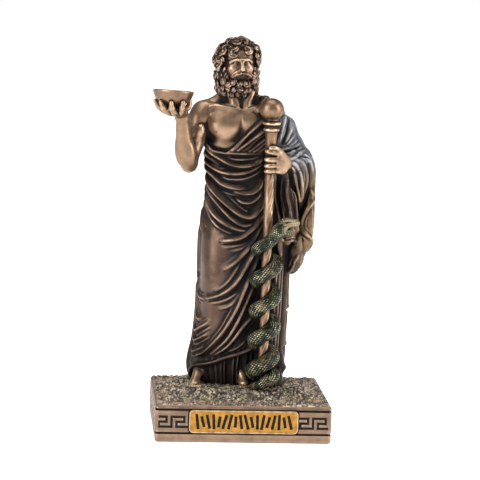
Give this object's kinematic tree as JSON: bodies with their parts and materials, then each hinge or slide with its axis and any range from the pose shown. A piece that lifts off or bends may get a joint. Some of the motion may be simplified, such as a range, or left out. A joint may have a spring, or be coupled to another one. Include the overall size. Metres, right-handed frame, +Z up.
{
  "type": "god statuette",
  "caption": "Cold-cast bronze statuette of a draped bearded god with a raised bowl and a serpent staff, on a plinth with a key pattern.",
  "frame": {"origin": "centre of the plinth's flat underside", "axes": "+Z up, the figure faces -Y, +X towards its left hand and the staff"},
  "size_m": [0.0413, 0.0308, 0.0886],
  "materials": {
    "bronze": "dark bronze, copper where it is rubbed, the serpent washed green",
    "plinth_bronze": "rubbed pinkish bronze with black in the grooves",
    "ochre_paint": "satin ochre gold paint with black in the strokes"
  },
  "bodies": {
    "root": {"figure": "bronze", "plinth": "plinth_bronze", "nameplate": "ochre_paint"}
  },
  "joints": []
}
